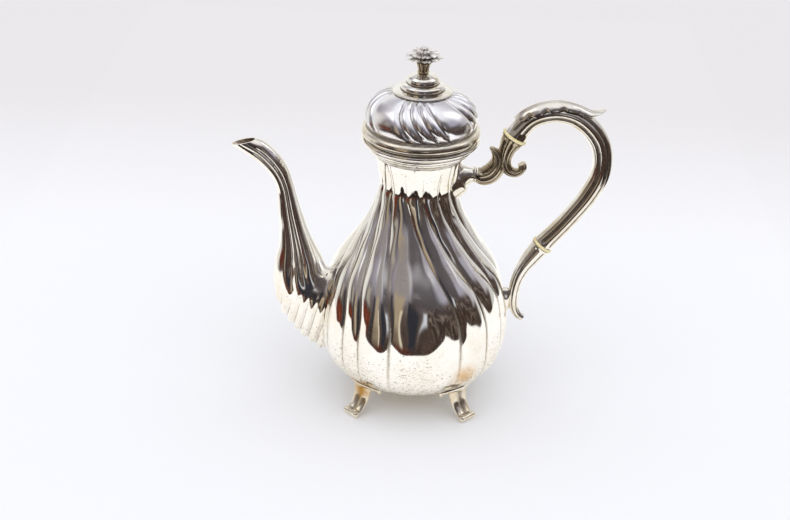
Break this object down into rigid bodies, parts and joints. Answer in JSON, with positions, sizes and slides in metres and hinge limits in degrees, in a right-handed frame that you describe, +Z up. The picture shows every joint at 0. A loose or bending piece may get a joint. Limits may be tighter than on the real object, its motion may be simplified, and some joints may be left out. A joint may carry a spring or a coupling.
{
  "type": "coffee pot",
  "caption": "Pear-shaped silver coffee pot with twisted flutes, lift-off domed lid with flower finial, swan-neck spout and insulated scroll handle on scroll feet.",
  "frame": {"origin": "on the pot's vertical axis, at the level of the undersides of the feet", "axes": "+Z up along the pot's axis, -X towards the spout, +X towards the handle, -Y towards the side that is seen from the front"},
  "size_m": [0.2569, 0.1328, 0.26],
  "materials": {
    "raised_silver": "polished, lightly worn sheet silver",
    "turned_silver": "polished, turned silver with dark tarnish in the grooves",
    "cast_silver": "polished cast silver with tarnish in the recesses",
    "ivory": "satin bone or ivory"
  },
  "bodies": {
    "pot": {"pot_body": "raised_silver", "base_plate": "raised_silver", "spout": "raised_silver", "spout_strainer": "raised_silver", "mouth_rim": "turned_silver", "upper_ring_lower_pin": "turned_silver", "upper_ring_upper_pin": "turned_silver", "lower_ring_lower_pin": "turned_silver", "lower_ring_upper_pin": "turned_silver", "upper_handle_socket": "cast_silver", "upper_handle_scroll": "cast_silver", "handle_grip": "cast_silver", "handle_leaf": "cast_silver", "lower_handle_scroll": "cast_silver", "lower_handle_plate": "cast_silver", "foot_front_left": "cast_silver", "foot_front_right": "cast_silver", "foot_rear_right": "cast_silver", "foot_rear_left": "cast_silver", "upper_insulator": "ivory", "lower_insulator": "ivory"},
    "lid": {"lid_dome": "raised_silver", "lid_rim": "turned_silver", "lid_bezel": "turned_silver", "lid_boss": "turned_silver", "finial_stem": "turned_silver", "finial_flower": "cast_silver", "finial_washer": "turned_silver", "finial_nut": "turned_silver"}
  },
  "joints": [
    {"name": "lid_lift", "type": "slide", "parent": "pot", "child": "lid", "axis": [0, 0, 1], "range_m": [0, 0.05]}
  ]
}
